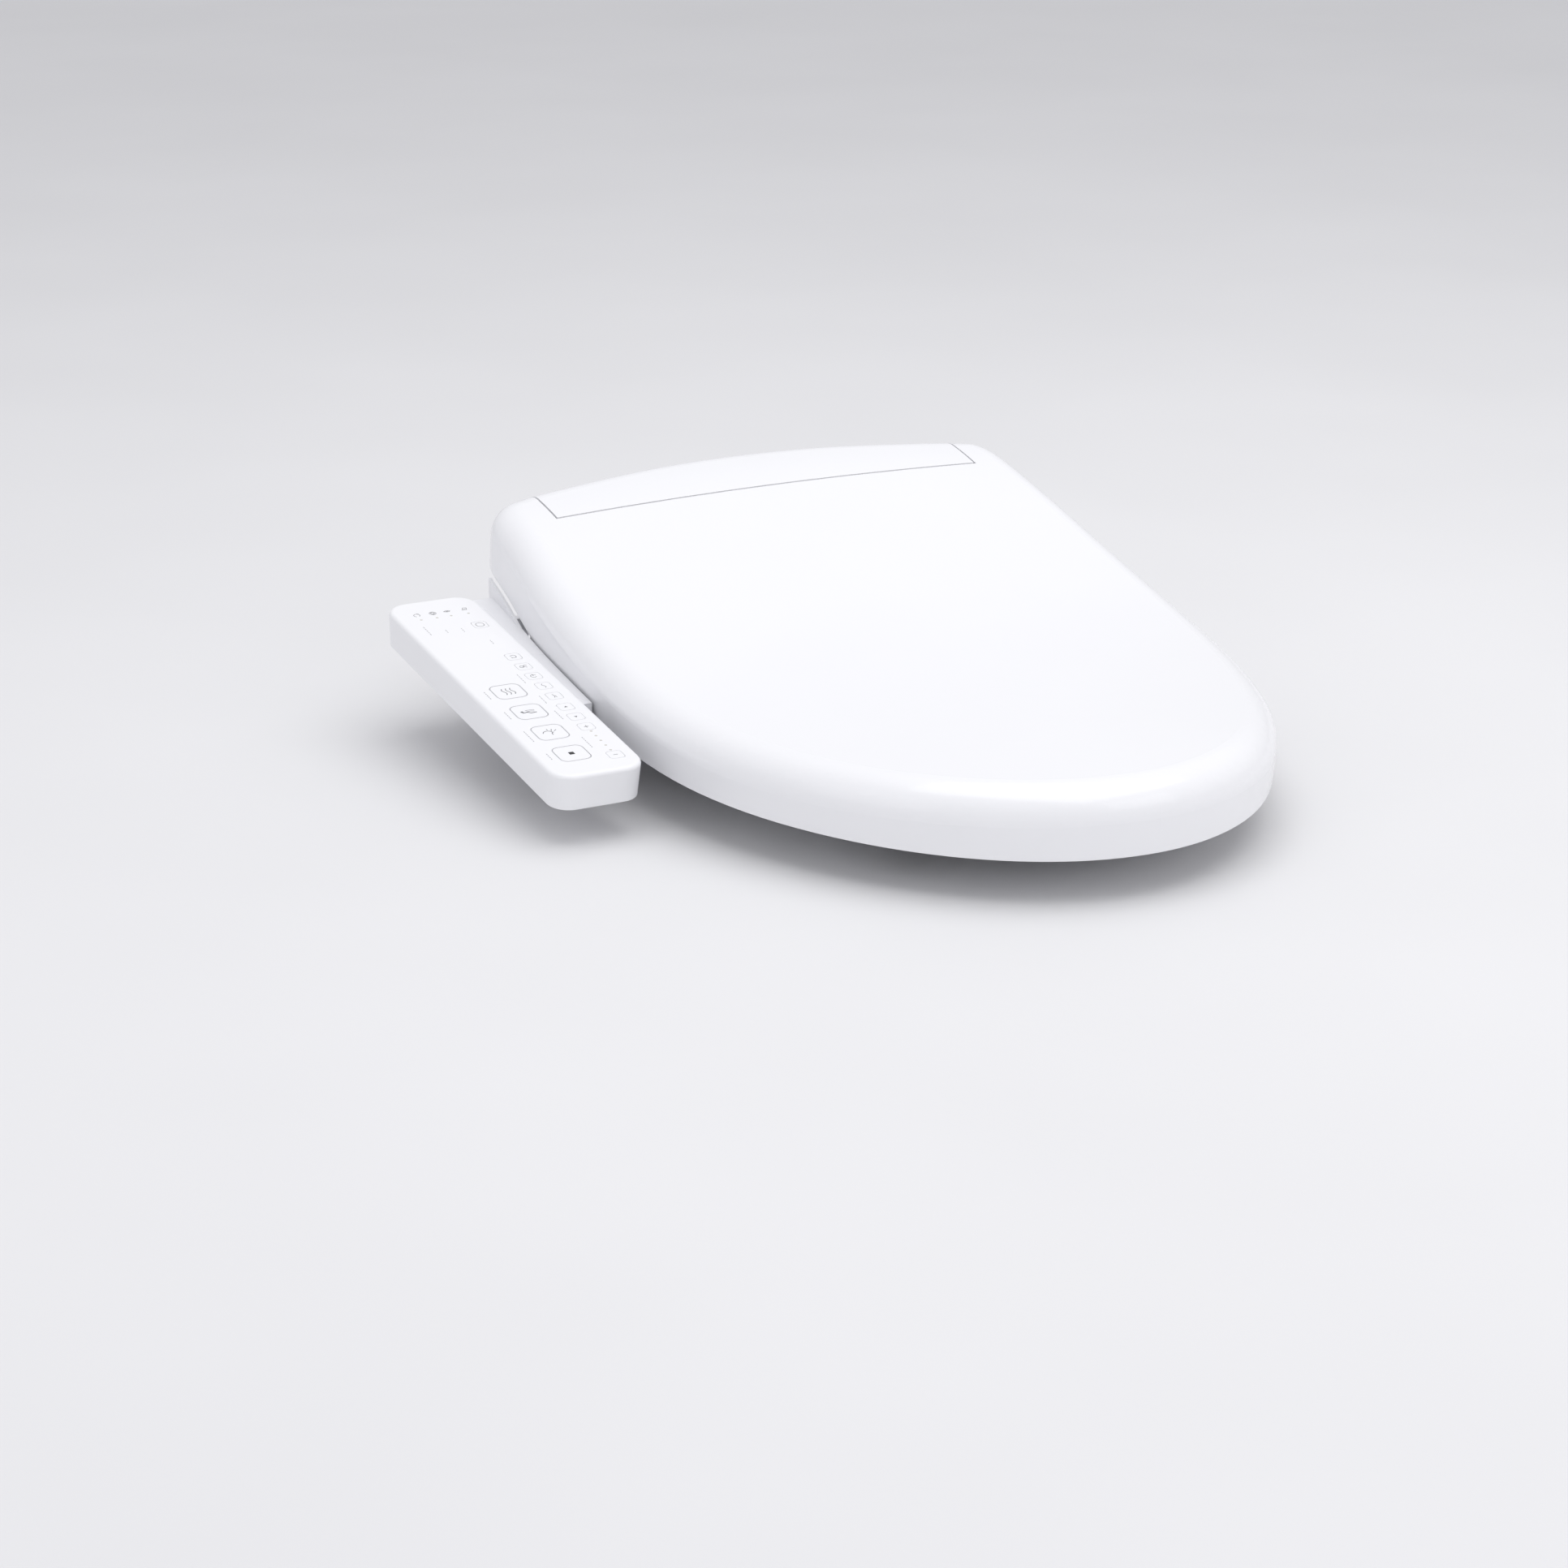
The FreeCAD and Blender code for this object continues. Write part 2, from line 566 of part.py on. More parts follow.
def make_diverter_valve():
    body = cyl(10.0, (-28, 14, 14.5), (0, 0, 1), 26)
    motor = cyl(8.0, (-28, 14, 40.5), (0, 0, 1), 12)
    outlets = [cyl(2.5, (-28, 14, z), (1, 0, 0), 15) for z in (20, 28)]
    return fuse([body, motor] + outlets)


def make_cartridge():
    """Deodorizer cartridge: a carbon box with a cover that closes the right skirt."""
    y0, y1 = CARTRIDGE_Y
    z0, z1 = CARTRIDGE_Z
    block = box(CARTRIDGE_X[0], CARTRIDGE_X[1], y0, y1, z0, z1)
    for number in range(6):
        x = CARTRIDGE_X[0] + 4.0 + 5.0 * number
        block = block.cut(box(x, x + 2.5, y0 + 3, y1 - 3, z0 - 1, z1 + 1))
    finger = box(CARTRIDGE_X[1] - 3, CARTRIDGE_X[1] + 1, y0 + 5, y1 - 5, z0 + 3, z0 + 8)
    return block.cut(finger)


def make_case_screws():
    screws = []
    for x, y in SCREW_AT:
        head = cyl(SCREW_R + 2, (x, y, FLOOR_Z - 3), (0, 0, 1), 3)
        shank = cyl(SCREW_R, (x, y, FLOOR_Z), (0, 0, 1), 10)
        slot = box(x - 0.6, x + 0.6, y - 3, y + 3, 0, FLOOR_Z - 1.8)
        screws.append(fuse([head, shank]).cut(slot))
    return screws


def make_release_button():
    cap = cyl(BUTTON_R, (186, BUTTON_Y, BUTTON_Z), (1, 0, 0), 7.2)
    stem = cyl(4.0, (153.5, BUTTON_Y, BUTTON_Z), (1, 0, 0), 33)
    return fuse([cap, stem])


# ---- wand and its drive ---------------------------------------------------
PITCH = math.pi * MODULE
PINION_R = MODULE * PINION_TEETH / 2
DEDENDUM = 1.25 * MODULE
SHAFT_R = 2.0


def make_wand_tube():
    tube = wand_cyl(WAND_R, -TIP_LENGTH - 1 - WAND_LENGTH, WAND_LENGTH)
    bore = wand_cyl(5.0, -TIP_LENGTH - 2 - WAND_LENGTH, WAND_LENGTH - 3)
    rail_start = -TIP_LENGTH - 1 - WAND_LENGTH
    rail = wand_box(-2.5, 2.5, rail_start, WAND_LENGTH - 1, 6.0, RACK_PITCH_N - DEDENDUM)
    teeth = []
    root = RACK_PITCH_N - DEDENDUM - 0.1
    crest = RACK_PITCH_N + 1.0
    first = int((rail_start + PINION_AT) / PITCH) + 1
    last = int((-TIP_LENGTH - 3 + PINION_AT) / PITCH)
    for number in range(first, last + 1):
        middle = -PINION_AT + number * PITCH
        teeth.append(tooth_x([(middle - 0.95, root), (middle + 0.95, root),
                              (middle + 0.4, crest), (middle - 0.4, crest)]))
    return fuse([tube.cut(bore), rail.cut(bore)] + teeth)


def tooth_x(profile):
    """A tooth 5 mm wide, its profile given as (along, below) points."""
    corners = [Vector(*wand_point(along, below, -2.5)) for along, below in profile]
    return Part.Face(Part.makePolygon(corners + corners[:1])).extrude(Vector(5, 0, 0))


def make_wand_tip():
    tip = wand_cyl(TIP_R, -TIP_LENGTH - 1, TIP_LENGTH)
    tip = round_edges(tip, 3.0, lambda edge: edge.Closed and edge.BoundBox.ZMax < WAND_Z + 8.0)
    for number in range(5):
        hole = wand_point(-6.0 - 2.2 * number, -TIP_R + 1.5, 1.8 * (number % 2) - 0.9)
        tip = tip.cut(cyl(0.6, hole, (0, -0.42, 0.91), 6))
    return tip


def pinion_centre(x=0.0):
    return wand_point(-PINION_AT, RACK_PITCH_N + PINION_R, x)


def make_drive_pinion():
    centre = Vector(*pinion_centre(-2.5))
    body = cyl(PINION_R - DEDENDUM, tuple(centre), (1, 0, 0), 5)
    teeth = []
    for number in range(PINION_TEETH):
        low = PINION_R - DEDENDUM - 0.3
        high = PINION_R + 1.0
        y, z = centre.y, centre.z
        sides = ((y - 0.95, z + low), (y + 0.95, z + low), (y + 0.4, z + high), (y - 0.4, z + high))
        tooth = prism_x(sides, -2.5, 2.5)
        turn = (number + 0.5) * 360.0 / PINION_TEETH + WAND_ANGLE
        tooth.rotate(centre, Vector(1, 0, 0), turn)
        teeth.append(tooth)
    bore = cyl(SHAFT_R + PIN_FIT, pinion_centre(-10), (1, 0, 0), 20)
    return fuse([body] + teeth).cut(bore)


def make_wand_motor():
    can = cyl(12.0, pinion_centre(8), (1, 0, 0), 20)
    shaft = cyl(SHAFT_R, pinion_centre(-3.5), (1, 0, 0), 12)
    return fuse([can, shaft])


def make_wand_cradle():
    saddle = wand_box(-12, 12, -62, 30, -11, 5)
    foot = box(-12, -9.5, -27, -8, FLOOR_Z + WALL, 46)
    base = box(-24, -9.5, -27, -8, FLOOR_Z + WALL, FLOOR_Z + WALL + 2)
    return fuse([saddle, foot, base]).cut(wand_cyl(WAND_R + PIN_FIT, -110, 120))


# ---- base plate on the bowl -----------------------------------------------
def make_base_plate():
    plate = box(-98, 98, -40, 42, 0, PLATE_Z)
    plate = round_edges(plate, 10.0, lambda edge: edge.BoundBox.ZLength > PLATE_Z - 0.01)
    for x in (-BOLT_SPACING / 2, BOLT_SPACING / 2):
        ends = [cyl(7, (x, y, -1), (0, 0, 1), 11) for y in (-9, 9)]
        plate = plate.cut(fuse([box(x - 7, x + 7, -9, 9, -1, 10)] + ends))
    rails = both_sides(box(30, 36, -36, 38, PLATE_Z - 1, PLATE_Z + 4))
    return fuse([plate] + rails)


def make_bolt_adjusters():
    adjusters = []
    for x in (-BOLT_SPACING / 2, BOLT_SPACING / 2):
        block = box(x - 15, x + 15, -20, 20, PLATE_Z, PLATE_Z + 4)
        boss = cyl(ADJUSTER_BOSS_R, (x, 0, 0), (0, 0, 1), PLATE_Z + 1)
        adjusters.append(fuse([block, boss]).cut(cyl(BOLT_HOLE_R, (x, 0, -1), (0, 0, 1), 20)))
    return adjusters


def make_bowl_pads():
    pads = []
    for y in (-50, 6):
        pads += both_sides(box(106, 126, y, y + 24, 0, FLOOR_Z))
    return pads


# ---- seat -----------------------------------------------------------------
def hole_prism(inset, z0, z1):
    """Seat opening: an oval a little squarer than an ellipse."""
    points = []
    count = 20
    squareness = 2.0 / 2.25
    for number in range(count):
        angle = 2 * math.pi * number / count
        c = math.cos(angle)
        s = math.sin(angle)
        x = math.copysign((HOLE_HALF + inset) * abs(c) ** squareness, c)
        y = math.copysign((HOLE_LENGTH_HALF + inset) * abs(s) ** squareness, s)
        points.append(Vector(x, HOLE_Y + y, z0))
    curve = Part.BSplineCurve()
    curve.interpolate(Points=points, PeriodicFlag=True)
    return Part.Face(Part.Wire(curve.toShape())).extrude(Vector(0, 0, z1 - z0))


def seat_solid(inset, lift, drop, edge_r):
    plan = plan_prism(SEAT_INSET + inset, 0, 130).cut(hole_prism(inset, -1, 131))
    plan = plan.common(box(-300, 300, -600, SEAT_REAR_Y - inset, -1, 131))
    body = plan.common(slab(SEAT_BOTTOM, SEAT_TOP, lift=lift, drop=drop))
    top = max(body.Faces, key=lambda face: face.BoundBox.ZMin)
    return body.makeFillet(edge_r, top.Edges)


seat_outer = seat_solid(0.0, 0.0, 0.0, SEAT_EDGE_R)
seat_inner = seat_solid(SEAT_WALL, SEAT_WALL, SEAT_WALL, SEAT_EDGE_R - SEAT_WALL)


def make_seat_shells():
    hollow = seat_outer.cut(seat_inner)
    above = slab(SEAT_BOTTOM, level(SEAT_TOP, 120.0), crown=flat_top, lift=SEAT_SEAM)
    return hollow.common(above), hollow.cut(above)


def make_seat_heater():
    sheet = seat_inner.common(slab(SEAT_BOTTOM, SEAT_TOP, lift=1.0, drop=SEAT_WALL + 0.2))
    sheet = sheet.cut(slab(level(SEAT_BOTTOM, -10.0), SEAT_TOP, drop=SEAT_WALL + 1.4))
    room = plan_prism(SEAT_INSET + 16.0, -1, 130).cut(hole_prism(14.0, -2, 131))
    return sheet.common(room).common(box(-300, 300, -600, SEAT_REAR_Y - 14, 0, 130))


def make_seat_bumpers():
    """Rubber feet that rest on the bowl's rim."""
    feet = []
    for x, y in ((140.0, -165.0), (98.0, -352.0)):
        foot = rounded_block(x - 11, x + 11, y - 19, y + 19, -6, 60, 5.0)
        foot = foot.common(box(-300, 300, -600, 300, 0, 60))
        foot = foot.cut(slab(SEAT_BOTTOM, level(SEAT_TOP, 130.0), crown=flat_top))
        feet += both_sides(foot)
    return feet


def make_seat_arms():
    side = ((SEAT_REAR_Y, 43), (SEAT_REAR_Y, 60), (-20, 79), (HINGE_Y, HINGE_Z + 8.5),
            (HINGE_Y, HINGE_Z - 8.5), (0, 66), (-30, 51))
    narrow = prism_x(side, ARM_X[0], ARM_X[1])
    shoulder = prism_x(side, ARM_X[0], ARM_X[2]).common(box(0, 300, -100, -4, 0, 200))
    eye = cyl(8.5, (ARM_X[0], HINGE_Y, HINGE_Z), (1, 0, 0), ARM_X[1] - ARM_X[0])
    bore = cyl(PIN_R + PIN_FIT, (ARM_X[0] - 1, HINGE_Y, HINGE_Z), (1, 0, 0), 40)
    arm = fuse([narrow, shoulder, eye]).cut(bore)
    return both_sides(arm)


# ---- control panel ----------------------------------------------------------
def panel_place(shape):
    """From panel space (x = -u from the inner side, y = v from the front, z = 0 on top) to the frame."""
    placed = shape.copy()
    placed.rotate(Vector(0, 0, 0), Vector(1, 0, 0), PANEL_SLOPE)
    slope = math.radians(PANEL_SLOPE)
    placed.translate(Vector(PANEL_INNER_X, PANEL_REAR_Y - PANEL_LENGTH * math.cos(slope),
                            PANEL_REAR_Z - PANEL_LENGTH * math.sin(slope)))
    return placed


def rounded_wire(x0, x1, y0, y1, r, z):
    k = r * (1 - math.sqrt(0.5))

    def at(x, y):
        return Vector(x, y, z)

    edges = [Part.LineSegment(at(x0 + r, y0), at(x1 - r, y0)).toShape(),
             Part.Arc(at(x1 - r, y0), at(x1 - k, y0 + k), at(x1, y0 + r)).toShape(),
             Part.LineSegment(at(x1, y0 + r), at(x1, y1 - r)).toShape(),
             Part.Arc(at(x1, y1 - r), at(x1 - k, y1 - k), at(x1 - r, y1)).toShape(),
             Part.LineSegment(at(x1 - r, y1), at(x0 + r, y1)).toShape(),
             Part.Arc(at(x0 + r, y1), at(x0 + k, y1 - k), at(x0, y1 - r)).toShape(),
             Part.LineSegment(at(x0, y1 - r), at(x0, y0 + r)).toShape(),
             Part.Arc(at(x0, y0 + r), at(x0 + k, y0 + k), at(x0 + r, y0)).toShape()]
    return Part.Wire(edges)


def panel_outline(inset, z):
    r = PANEL_CORNER_R - inset
    return rounded_wire(-PANEL_WIDTH + inset, -inset, inset, PANEL_LENGTH - inset, r, z)


def panel_block(inset, z0, z1):
    """Drafted block: the panel narrows from its top to its underside."""
    low = inset - PANEL_DRAFT * z0 / PANEL_HEIGHT
    high = inset - PANEL_DRAFT * z1 / PANEL_HEIGHT
    return Part.makeLoft([panel_outline(low, z0), panel_outline(high, z1)], True, True)


def key_block(u, v, size, r, z0, z1):
    wire = rounded_wire(-u - size / 2, -u + size / 2, v - size / 2, v + size / 2, r, z0)
    return Part.Face(wire).extrude(Vector(0, 0, z1 - z0))


def all_keys():
    big = [(name, BIG_KEY_U, v, BIG_KEY, BIG_KEY_R) for name, v in BIG_KEYS]
    small = [(name, SMALL_KEY_U, v, SMALL_KEY, SMALL_KEY_R) for name, v in SMALL_KEYS]
    return big + small


def led_places():
    bar = [(SMALL_KEY_U, 24.5 + 6.6 * number) for number in range(5)]
    row = [(u, 229.0) for u in (12.7, 24.2, 33.6, 44.0)]
    return bar + row


PANEL_POSTS = [(9.5, 7.5), (9.5, 249.0), (48.9, 7.5), (48.9, 249.0), (48.9, 140.0)]


def make_panel_cover():
    shell = panel_block(0.0, -PANEL_SEAM, 0.0)
    shell = shell.makeFillet(PANEL_EDGE_R, top_rim_edges(shell))
    shell = shell.cut(panel_block(PANEL_WALL, -PANEL_HEIGHT, -PANEL_WALL))
    posts = [cyl(4.0, (-u, v, -PANEL_SEAM), (0, 0, 1), PANEL_SEAM - PANEL_WALL + 0.5) for u, v in PANEL_POSTS]
    shell = fuse([shell] + [post.common(panel_block(0.5, -PANEL_SEAM, -0.5)) for post in posts])
    for u, v in PANEL_POSTS:
        shell = shell.cut(cyl(PANEL_SCREW_R, (-u, v, -PANEL_HEIGHT), (0, 0, 1), 12))
    for _, u, v, size, r in all_keys():
        shell = shell.cut(key_block(u, v, size + 2 * KEY_GAP, r + KEY_GAP, -10, 5))
    for u, v in led_places():
        shell = shell.cut(cyl(LED_R, (-u, v, -10), (0, 0, 1), 20))
    return panel_place(shell)


def make_panel_back():
    plate = panel_block(0.0, -PANEL_HEIGHT, -PANEL_SEAM)
    for u, v in PANEL_POSTS:
        plate = plate.cut(cyl(PANEL_SCREW_R, (-u, v, -PANEL_HEIGHT - 1), (0, 0, 1), 6))
    return panel_place(plate)


def make_panel_screws():
    screws = []
    for u, v in PANEL_POSTS:
        shank = cyl(PANEL_SCREW_R, (-u, v, -PANEL_HEIGHT), (0, 0, 1), 10)
        screws.append(panel_place(shank.cut(box(-u - 0.4, -u + 0.4, v - 2, v + 2, -30, -PANEL_HEIGHT + 0.8))))
    return screws


def make_panel_board():
    board = panel_block(PANEL_WALL + 1.0, -9.4, -7.8)
    for u, v in PANEL_POSTS:
        board = board.cut(cyl(4.6, (-u, v, -12), (0, 0, 1), 10))
    return panel_place(board)


def make_key_mat():
    mat = panel_block(PANEL_WALL + 1.0, -6.8, -6.0)
    domes = []
    for _, u, v, size, _ in all_keys():
        domes.append(cyl(size * 0.28, (-u, v, -6.4), (0, 0, 1), 6.4 - KEY_HEIGHT - KEY_TRAVEL_ROOM))
    mat = fuse([mat] + domes)
    for u, v in PANEL_POSTS:
        mat = mat.cut(cyl(4.6, (-u, v, -12), (0, 0, 1), 10))
    for u, v in led_places():
        mat = mat.cut(cyl(LED_R + 0.3, (-u, v, -12), (0, 0, 1), 12))
    return panel_place(mat)


def make_leds():
    return [panel_place(cyl(LED_R, (-u, v, -7.8), (0, 0, 1), 7.8)) for u, v in led_places()]


def make_key(u, v, size, r):
    cap = key_block(u, v, size, r, -KEY_HEIGHT, 0.0)
    flange = key_block(u, v, size + 1.6, r + 0.8, -KEY_HEIGHT, -PANEL_WALL - 0.2)
    return panel_place(fuse([cap, flange]))


# ---- write every sub-part -----------------------------------------------------
os.makedirs("parts", exist_ok=True)
seat_top_shell, seat_bottom_shell = make_seat_shells()
export("lid_shell", make_lid())
export("lid_hinge_brackets", make_lid_brackets())
export("lid_bumpers", make_lid_bumpers())
export("seat_top_shell", seat_top_shell)
export("seat_bottom_shell", seat_bottom_shell)
export("seat_heater", make_seat_heater())
export("seat_bumpers", make_seat_bumpers())
export("seat_hinge_arms", make_seat_arms())
export("upper_case", make_upper_case())
export("lower_case", make_lower_case())
export("front_fascia", make_front_fascia())
export("case_screws", make_case_screws())
export("hinge_pins", make_hinge_pins())
damper_right, damper_left = both_sides(make_hinge_damper())
export("seat_damper", damper_right)
export("lid_damper", damper_left)
export("heater_tank", make_heater_tank())
export("inlet_valve", make_inlet_valve())
export("water_inlet_fitting", make_inlet_fitting())
export("inlet_filter_plug", make_rear_plug(FILTER_X, FILTER_R, FILTER_R + 2))
export("drain_plug", make_rear_plug(DRAIN_X, DRAIN_R, DRAIN_R + 2))
export("power_gland", make_power_gland())
export("dryer_fan_housing", make_fan_housing())
export("dryer_fan_rotor", make_fan_rotor())
export("dryer_duct", make_dryer_duct())
export("dryer_heater", make_dryer_heater())
export("dryer_flap", make_dryer_flap())
export("main_circuit_board", make_circuit_board())
export("diverter_valve", make_diverter_valve())
export("deodorizer_cartridge", make_cartridge())
export("release_button", make_release_button())
export("wand_tube", make_wand_tube())
export("wand_tip", make_wand_tip())
export("wand_cradle", make_wand_cradle())
export("wand_motor", make_wand_motor())
export("drive_pinion", make_drive_pinion())
export("base_plate", make_base_plate())
export("bolt_adjusters", make_bolt_adjusters())
export("bowl_pads", make_bowl_pads())
export("panel_cover", make_panel_cover())
export("panel_back_plate", make_panel_back())
export("panel_screws", make_panel_screws())
export("panel_circuit_board", make_panel_board())
export("key_mat", make_key_mat())
export("indicator_lights", make_leds())
for key_name, key_u, key_v, key_size, key_r in all_keys():
    export(key_name, make_key(key_u, key_v, key_size, key_r))
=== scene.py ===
import json
import math
import bpy
from mathutils import Matrix, Vector


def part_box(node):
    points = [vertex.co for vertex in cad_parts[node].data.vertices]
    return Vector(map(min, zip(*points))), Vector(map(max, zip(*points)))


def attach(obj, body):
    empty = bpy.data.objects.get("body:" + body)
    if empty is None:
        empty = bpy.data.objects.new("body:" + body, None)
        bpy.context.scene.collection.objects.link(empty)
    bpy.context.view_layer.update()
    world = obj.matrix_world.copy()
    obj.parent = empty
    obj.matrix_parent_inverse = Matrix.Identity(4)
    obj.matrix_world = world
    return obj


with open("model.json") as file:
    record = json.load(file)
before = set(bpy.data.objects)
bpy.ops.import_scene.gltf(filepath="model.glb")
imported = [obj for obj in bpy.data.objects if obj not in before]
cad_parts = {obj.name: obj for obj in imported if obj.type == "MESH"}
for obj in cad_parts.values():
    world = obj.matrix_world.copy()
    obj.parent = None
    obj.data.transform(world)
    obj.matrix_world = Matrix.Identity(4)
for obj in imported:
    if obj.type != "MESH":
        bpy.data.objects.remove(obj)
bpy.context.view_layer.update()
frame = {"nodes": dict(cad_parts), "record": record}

MM = 0.001

# ---- materials --------------------------------------------------------------


def new_material(name):
    mat = bpy.data.materials.new(name)
    mat.use_nodes = True
    tree = mat.node_tree
    shader = tree.nodes["Principled BSDF"]
    return mat, tree, shader


def object_noise(tree, scale, detail=2.0, stretch=(1.0, 1.0, 1.0)):
    coords = tree.nodes.new("ShaderNodeTexCoord")
    mapping = tree.nodes.new("ShaderNodeMapping")
    mapping.inputs["Scale"].default_value = stretch
    noise = tree.nodes.new("ShaderNodeTexNoise")
    noise.inputs["Scale"].default_value = scale
    noise.inputs["Detail"].default_value = detail
    tree.links.new(coords.outputs["Object"], mapping.inputs["Vector"])
    tree.links.new(mapping.outputs["Vector"], noise.inputs["Vector"])
    return noise.outputs["Fac"]


NOISE_LOW, NOISE_HIGH = 0.3, 0.7   # the span that a noise texture really covers


def vary(tree, fac, low, high, socket):
    """Drive a shader's socket between two values or colours by a texture."""
    if isinstance(low, (int, float)):
        ramp = tree.nodes.new("ShaderNodeMapRange")
        ramp.inputs["From Min"].default_value = NOISE_LOW
        ramp.inputs["From Max"].default_value = NOISE_HIGH
        ramp.inputs["To Min"].default_value = low
        ramp.inputs["To Max"].default_value = high
        tree.links.new(fac, ramp.inputs["Value"])
        tree.links.new(ramp.outputs["Result"], socket)
        return
    ramp = tree.nodes.new("ShaderNodeValToRGB")
    ramp.color_ramp.elements[0].position = NOISE_LOW
    ramp.color_ramp.elements[1].position = NOISE_HIGH
    ramp.color_ramp.elements[0].color = (*low, 1.0)
    ramp.color_ramp.elements[1].color = (*high, 1.0)
    tree.links.new(fac, ramp.inputs["Fac"])
    tree.links.new(ramp.outputs["Color"], socket)


def add_bump(tree, shader, fac, strength, distance):
    bump = tree.nodes.new("ShaderNodeBump")
    bump.inputs["Strength"].default_value = strength
    bump.inputs["Distance"].default_value = distance
    tree.links.new(fac, bump.inputs["Height"])
    tree.links.new(bump.outputs["Normal"], shader.inputs["Normal"])


TINT_SCALE, GLOSS_SCALE = 9.0, 16.0
PLASTIC_IOR = 1.49
COAT_ROUGHNESS = 0.04
GRAIN_DEPTH = 0.00005   # metres


def plastic(name, low, high, rough, grain=0.0, grain_scale=2500.0, coat=0.0):
    """Moulded plastic: slow tint and gloss drift, and a fine mould grain."""
    mat, tree, shader = new_material(name)
    vary(tree, object_noise(tree, TINT_SCALE), low, high, shader.inputs["Base Color"])
    gloss = object_noise(tree, GLOSS_SCALE, 1.0)
    vary(tree, gloss, rough * 0.96, rough * 1.04, shader.inputs["Roughness"])
    shader.inputs["IOR"].default_value = PLASTIC_IOR
    if coat:
        shader.inputs["Coat Weight"].default_value = coat
        shader.inputs["Coat Roughness"].default_value = COAT_ROUGHNESS
    if grain:
        add_bump(tree, shader, object_noise(tree, grain_scale, 3.0), grain, GRAIN_DEPTH)
    return mat


def metal(name, low, high, rough, stretch, scale=900.0):
    """Brushed or machined metal, its marks drawn out along one direction."""
    mat, tree, shader = new_material(name)
    marks = object_noise(tree, scale, 3.0, stretch)
    shader.inputs["Metallic"].default_value = 1.0
    vary(tree, marks, low, high, shader.inputs["Base Color"])
    vary(tree, marks, rough * 0.7, rough * 1.3, shader.inputs["Roughness"])
    add_bump(tree, shader, marks, 0.15, GRAIN_DEPTH)
    return mat


def rubber(name, low, high):
    mat, tree, shader = new_material(name)
    vary(tree, object_noise(tree, 140.0, 5.0), low, high, shader.inputs["Base Color"])
    shader.inputs["Roughness"].default_value = 0.75
    add_bump(tree, shader, object_noise(tree, 1800.0, 4.0), 0.25, 0.0001)
    return mat


def board_material(name):
    """Coated board: dark green with lighter copper tracks showing through."""
    mat, tree, shader = new_material(name)
    coords = tree.nodes.new("ShaderNodeTexCoord")
    tracks = tree.nodes.new("ShaderNodeTexBrick")
    tracks.inputs["Scale"].default_value = 60.0
    tracks.inputs["Color1"].default_value = (0.010, 0.095, 0.040, 1.0)
    tracks.inputs["Color2"].default_value = (0.012, 0.120, 0.052, 1.0)
    tracks.inputs["Mortar"].default_value = (0.060, 0.230, 0.110, 1.0)
    tracks.inputs["Mortar Size"].default_value = 0.03
    tree.links.new(coords.outputs["Object"], tracks.inputs["Vector"])
    tree.links.new(tracks.outputs["Color"], shader.inputs["Base Color"])
    shader.inputs["Roughness"].default_value = 0.35
    return mat


def ink_material(name, low, high):
    mat, tree, shader = new_material(name)
    vary(tree, object_noise(tree, 1200.0, 2.0), low, high, shader.inputs["Base Color"])
    shader.inputs["Roughness"].default_value = 0.5
    return mat


SHELL_WHITE = ((0.868, 0.870, 0.893), (0.876, 0.878, 0.899))
CASE_WHITE = ((0.842, 0.845, 0.870), (0.850, 0.853, 0.876))
PANEL_WHITE = ((0.865, 0.867, 0.890), (0.880, 0.882, 0.900))
WAND_WHITE = ((0.86, 0.86, 0.87), (0.88, 0.88, 0.89))
BUTTON_GREY = ((0.33, 0.34, 0.36), (0.37, 0.38, 0.40))
INNER_GREY = ((0.24, 0.25, 0.27), (0.30, 0.31, 0.33))
NEAR_BLACK = ((0.012, 0.012, 0.014), (0.022, 0.022, 0.025))
LENS_TINT = ((0.60, 0.58, 0.54), (0.68, 0.66, 0.61))

SLOT_MATERIALS = {
    "white_shell": plastic("white_shell_gloss", *SHELL_WHITE, 0.20, 0.02, 700.0, 0.35),
    "white_case": plastic("white_case_gloss", *CASE_WHITE, 0.28, 0.04, 1400.0, 0.15),
    "white_panel": plastic("white_panel_satin", *PANEL_WHITE, 0.36, 0.08, 2600.0),
    "white_key": plastic("white_key_satin", *PANEL_WHITE, 0.36, 0.08, 2600.0),
    "white_wand": plastic("white_wand_gloss", *WAND_WHITE, 0.18, 0.03, 900.0, 0.3),
    "grey_button": plastic("grey_button_satin", *BUTTON_GREY, 0.40, 0.15),
    "grey_plastic": plastic("grey_plastic_grain", *INNER_GREY, 0.50, 0.30),
    "dark_plastic": plastic("dark_plastic_grain", *NEAR_BLACK, 0.45, 0.35),
    "grey_rubber": rubber("grey_rubber_matt", (0.42, 0.42, 0.43), (0.50, 0.50, 0.51)),
    "foil": metal("foil_brushed", (0.55, 0.55, 0.57), (0.70, 0.70, 0.71), 0.30, (1.0, 40.0, 1.0), 60.0),
    "steel": metal("steel_plated", (0.50, 0.50, 0.52), (0.62, 0.62, 0.63), 0.25, (0.05, 1.0, 1.0)),
    "brass": metal("brass_machined", (0.55, 0.36, 0.12), (0.68, 0.47, 0.18), 0.22, (1.0, 0.05, 1.0)),
    "board": board_material("board_green"),
    "lens": plastic("lens_clear", *LENS_TINT, 0.15, 0.0, 1.0, 0.5),
}
INK = ink_material("print_grey", (0.16, 0.16, 0.17), (0.20, 0.20, 0.21))
INK_PALE = ink_material("print_pale", (0.42, 0.42, 0.44), (0.48, 0.48, 0.50))
INK_DARK = ink_material("print_black", (0.015, 0.015, 0.016), (0.025, 0.025, 0.027))

